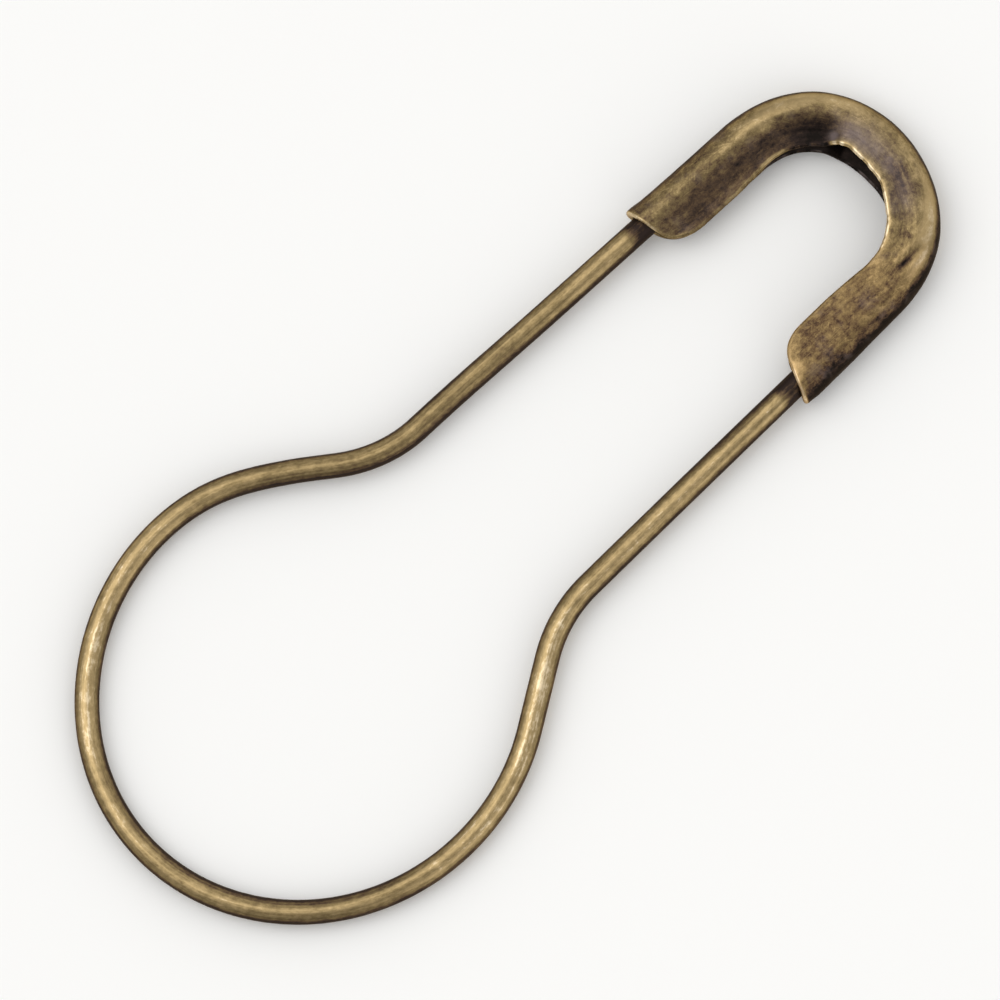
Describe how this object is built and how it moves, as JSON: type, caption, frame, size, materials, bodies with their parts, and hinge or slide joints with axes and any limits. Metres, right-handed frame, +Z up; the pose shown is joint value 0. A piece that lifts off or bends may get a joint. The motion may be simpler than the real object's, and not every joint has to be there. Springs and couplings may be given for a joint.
{
  "type": "locking stitch marker",
  "caption": "Bulb-shaped coil-less safety pin of springy wire whose point locks in a folded sheet metal cap, used to mark stitches; antique brass finish.",
  "frame": {"origin": "middle of the pin's bounding box, on the plane that the cap lies on", "axes": "+X from the bulb to the cap, +Y towards the fixed leg, +Z up from the surface that the pin lies on"},
  "size_m": [0.022, 0.0096, 0.001],
  "materials": {
    "cap_metal": "antique brass plating, dark patina in the pressed hollows, rubbed light on rims",
    "wire_metal": "antique brass plating, rubbed light along the top, dark at the sides"
  },
  "bodies": {
    "cap_and_fixed_leg": {"cap": "cap_metal", "fixed_leg_wire": "wire_metal"},
    "pin_leg": {"pin_leg_wire": "wire_metal"}
  },
  "joints": [
    {"name": "pin_leg_squeeze", "type": "hinge", "parent": "cap_and_fixed_leg", "child": "pin_leg", "pos_m": [-0.01074, 0, 0.00048], "axis": [0, 0, 1], "range_deg": [0, 10], "stiffness_Nm_per_rad": 0.04}
  ]
}
